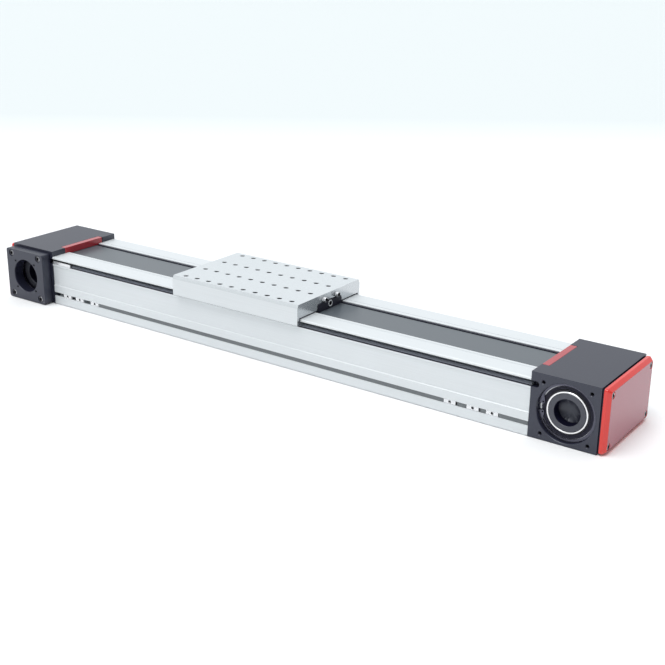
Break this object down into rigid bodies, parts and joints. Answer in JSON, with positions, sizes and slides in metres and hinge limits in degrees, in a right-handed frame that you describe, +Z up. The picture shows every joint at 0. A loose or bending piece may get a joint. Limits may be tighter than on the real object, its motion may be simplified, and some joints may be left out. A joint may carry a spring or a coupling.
{
  "type": "belt-driven linear axis",
  "caption": "Belt-driven linear guide axis: extruded rail profile with a flat tapped carriage, a hollow-shaft pulley in each end head and a flange for a drive motor.",
  "frame": {"origin": "mid-length and mid-width of the extruded profile, on its underside (the mounting face)", "axes": "+X along the travel, from the drive head to the idler head; -Y is the side the motor flange faces; +Z up, towards the carriage"},
  "size_m": [1.212, 0.1875, 0.115],
  "materials": {
    "profile_anodised": "drawn, clear anodised",
    "carriage_anodised": "milled and fine blasted, clear anodised",
    "black_anodised": "black anodised, fine machined",
    "cap_plastic": "glossy red moulding",
    "bumper_plastic": "satin red",
    "belt_pu": "grey polyurethane, satin",
    "ground_steel": "ground",
    "bright_steel": "bright plated",
    "hub_anodised": "turned, dark anodised",
    "cover_plastic": "extruded grey strip",
    "wiper_rubber": "black moulded",
    "spring_steel": "blackened spring steel"
  },
  "bodies": {
    "axis_frame": {"profile": "profile_anodised", "rail_front": "ground_steel", "rail_rear": "ground_steel", "slot_nut_1": "bright_steel", "slot_nut_2": "bright_steel", "slot_nut_3": "bright_steel", "slot_nut_4": "bright_steel", "slot_nut_5": "bright_steel", "slot_nut_6": "bright_steel", "slot_cover_1": "cover_plastic", "slot_cover_2": "cover_plastic", "slot_cover_3": "cover_plastic", "slot_stop": "bright_steel", "head_left": "black_anodised", "bumper_left": "bumper_plastic", "end_cap_left": "cap_plastic", "bearing_outer_left_front": "ground_steel", "bearing_outer_left_rear": "ground_steel", "head_right": "black_anodised", "bumper_right": "bumper_plastic", "end_cap_right": "cap_plastic", "bearing_outer_right_front": "ground_steel", "bearing_outer_right_rear": "ground_steel", "cap_screw_right_1": "ground_steel", "flange_screw_1": "bright_steel", "cap_screw_right_2": "ground_steel", "flange_screw_2": "bright_steel", "cap_screw_right_3": "ground_steel", "flange_screw_3": "bright_steel", "cap_screw_right_4": "ground_steel", "flange_screw_4": "bright_steel", "motor_flange": "black_anodised", "retaining_ring_right": "spring_steel", "belt": "belt_pu"},
    "carriage": {"guide_block_left_front": "ground_steel", "guide_block_left_rear": "ground_steel", "belt_clamp_left": "hub_anodised", "wiper_left": "wiper_rubber", "grease_port_left": "bright_steel", "wiper_screw_left_a": "bright_steel", "wiper_screw_left_b": "bright_steel", "guide_block_right_front": "ground_steel", "guide_block_right_rear": "ground_steel", "belt_clamp_right": "hub_anodised", "wiper_right": "wiper_rubber", "grease_port_right": "bright_steel", "wiper_screw_right_a": "bright_steel", "wiper_screw_right_b": "bright_steel", "carriage_plate": "carriage_anodised"},
    "drive_pulley": {"bearing_inner_left_front": "ground_steel", "lock_ring_left_front": "bright_steel", "bearing_inner_left_rear": "ground_steel", "lock_ring_left_rear": "bright_steel", "pulley_drive": "hub_anodised"},
    "idler_pulley": {"bearing_inner_right_front": "ground_steel", "lock_ring_right_front": "bright_steel", "bearing_inner_right_rear": "ground_steel", "lock_ring_right_rear": "bright_steel", "pulley_idler": "hub_anodised"}
  },
  "joints": [
    {"name": "carriage_slide", "type": "slide", "parent": "axis_frame", "child": "carriage", "axis": [1, 0, 0], "range_m": [-0.26, 0.39]},
    {"name": "drive_pulley_spin", "type": "hinge", "parent": "axis_frame", "child": "drive_pulley", "pos_m": [-0.5435, 0, 0.048], "axis": [0, 1, 0], "range_deg": [-500, 720]},
    {"name": "idler_pulley_spin", "type": "hinge", "parent": "axis_frame", "child": "idler_pulley", "pos_m": [0.5435, 0, 0.048], "axis": [0, 1, 0], "range_deg": [-500, 720]}
  ],
  "couplings": [
    {"joint": "drive_pulley_spin", "follows": "carriage_slide", "rad_per_m": 26.18},
    {"joint": "idler_pulley_spin", "follows": "carriage_slide", "rad_per_m": 26.18}
  ]
}
